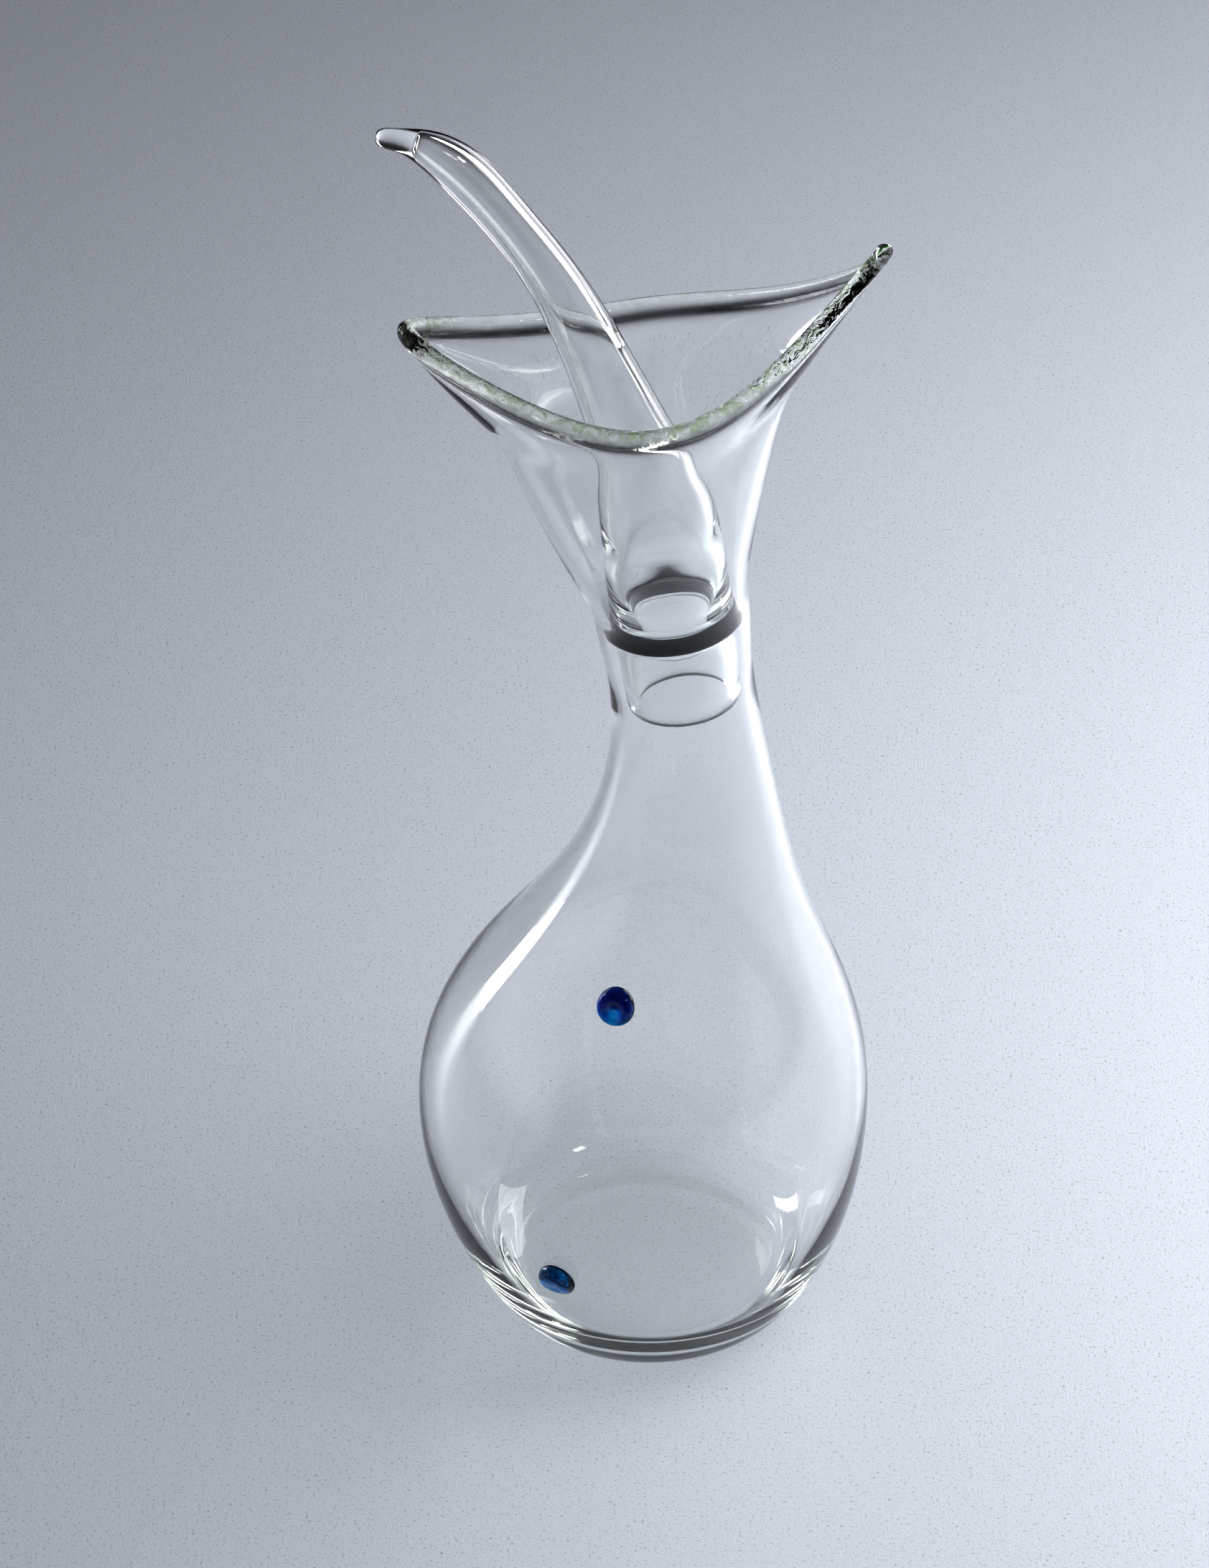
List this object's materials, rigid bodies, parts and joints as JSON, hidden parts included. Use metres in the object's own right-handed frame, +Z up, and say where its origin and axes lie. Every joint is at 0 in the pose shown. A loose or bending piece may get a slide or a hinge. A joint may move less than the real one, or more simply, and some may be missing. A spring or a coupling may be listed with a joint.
{
  "type": "wine decanter",
  "caption": "Clear glass teardrop wine decanter with a bent neck, a flared saddle-shaped mouth, blue glass drops and a horn-shaped stopper with a rubber ring.",
  "frame": {"origin": "middle of the flat foot, on the surface that the decanter stands on", "axes": "+Z up, +X towards the taller pouring tip, -Y towards the front, where the blue drops are"},
  "size_m": [0.1247, 0.1196, 0.3599],
  "materials": {
    "clear_glass": "hand-blown, fire-polished",
    "black_rubber": "moulded, satin",
    "blue_glass": "fire-polished cobalt glass"
  },
  "bodies": {
    "vessel": {"vessel": "clear_glass", "upper_drop": "blue_glass", "lower_drop": "blue_glass"},
    "seal": {"seal_ring": "black_rubber"},
    "stopper": {"stopper": "clear_glass"}
  },
  "joints": [
    {"name": "stopper_lift", "type": "slide", "parent": "vessel", "child": "seal", "axis": [-0.1219, 0, 0.9925], "range_m": [0, 0.15]},
    {"name": "stopper_turn", "type": "hinge", "parent": "seal", "child": "stopper", "pos_m": [0.005, 0, 0.2197], "axis": [-0.1219, 0, 0.9925], "continuous": true}
  ]
}
